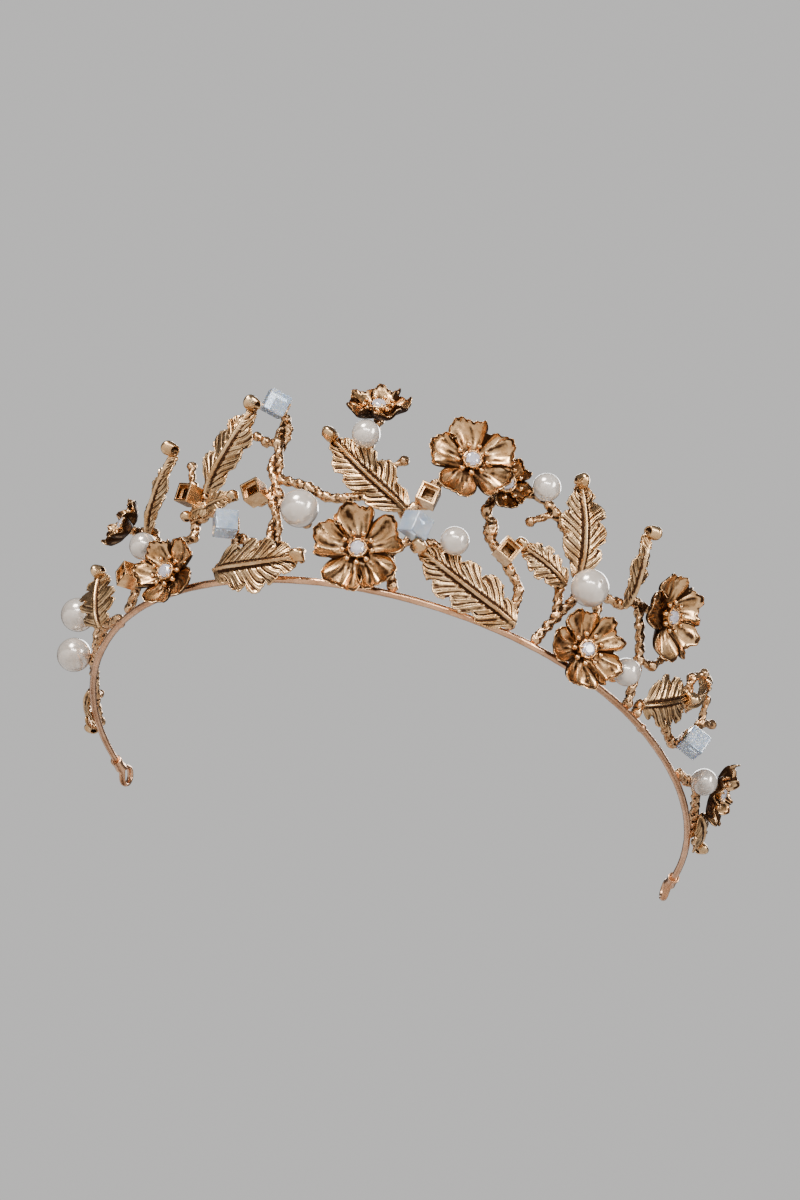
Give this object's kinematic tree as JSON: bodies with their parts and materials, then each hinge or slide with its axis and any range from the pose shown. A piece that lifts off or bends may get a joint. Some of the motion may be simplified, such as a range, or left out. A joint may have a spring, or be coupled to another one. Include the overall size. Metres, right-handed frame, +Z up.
{
  "type": "bridal tiara",
  "caption": "Horseshoe wire tiara with cast twigs, veined leaves, ruffled flowers, pearls and milky cubes rising from its front; a small eyelet at each end.",
  "frame": {"origin": "on the table under the middle of the tiara's bounding box", "axes": "+X to the wearer's left, along the widest extent; +Y from the front of the band to its open back; +Z up. The tiara stands on two low flowers and its two end loops."},
  "size_m": [0.1618, 0.1272, 0.0508],
  "materials": {
    "antique_gold": "antiqued, polished on raised edges and dark in the recesses",
    "pearl": "lustrous pearl coating",
    "opal": "milky polished glass",
    "clear_stone": "clear faceted glass"
  },
  "bodies": {
    "root": {"band_wire": "antique_gold", "left_end_loop": "antique_gold", "right_end_loop": "antique_gold", "far_left_branch": "antique_gold", "left_branch": "antique_gold", "twin_stem_branch": "antique_gold", "pearl_arch_branch": "antique_gold", "centre_branch": "antique_gold", "bud_branch": "antique_gold", "right_arch_branch": "antique_gold", "right_branch": "antique_gold", "far_right_branch": "antique_gold", "right_end_branch": "antique_gold", "square_settings": "antique_gold", "tall_left_leaf": "antique_gold", "low_left_leaf": "antique_gold", "centre_left_leaf": "antique_gold", "long_leaf": "antique_gold", "tall_right_leaf": "antique_gold", "small_right_leaf": "antique_gold", "edge_right_leaf": "antique_gold", "low_right_leaf": "antique_gold", "edge_left_leaf": "antique_gold", "far_left_leaf": "antique_gold", "left_end_leaf": "antique_gold", "curled_right_leaf": "antique_gold", "right_end_leaf": "antique_gold", "left_leaf_sprig": "antique_gold", "left_flower_petals": "antique_gold", "left_flower_stamens": "antique_gold", "far_left_flower_petals": "antique_gold", "far_left_flower_stamens": "antique_gold", "top_flower_petals": "antique_gold", "top_flower_stamens": "antique_gold", "front_flower_petals": "antique_gold", "front_flower_stamens": "antique_gold", "tall_flower_petals": "antique_gold", "tall_flower_stamens": "antique_gold", "side_flower_petals": "antique_gold", "side_flower_stamens": "antique_gold", "right_flower_petals": "antique_gold", "right_flower_stamens": "antique_gold", "far_right_flower_petals": "antique_gold", "far_right_flower_stamens": "antique_gold", "right_end_flower_petals": "antique_gold", "right_end_flower_stamens": "antique_gold", "chatons": "clear_stone", "far_left_pearls": "pearl", "left_pearl": "pearl", "arch_pearl": "pearl", "top_pearl": "pearl", "centre_pearl": "pearl", "right_arch_pearl": "pearl", "right_large_pearl": "pearl", "right_low_pearl": "pearl", "right_end_pearl": "pearl", "tall_opal_cube": "opal", "left_opal_cube": "opal", "centre_opal_cube": "opal", "right_opal_cube": "opal"}
  },
  "joints": []
}
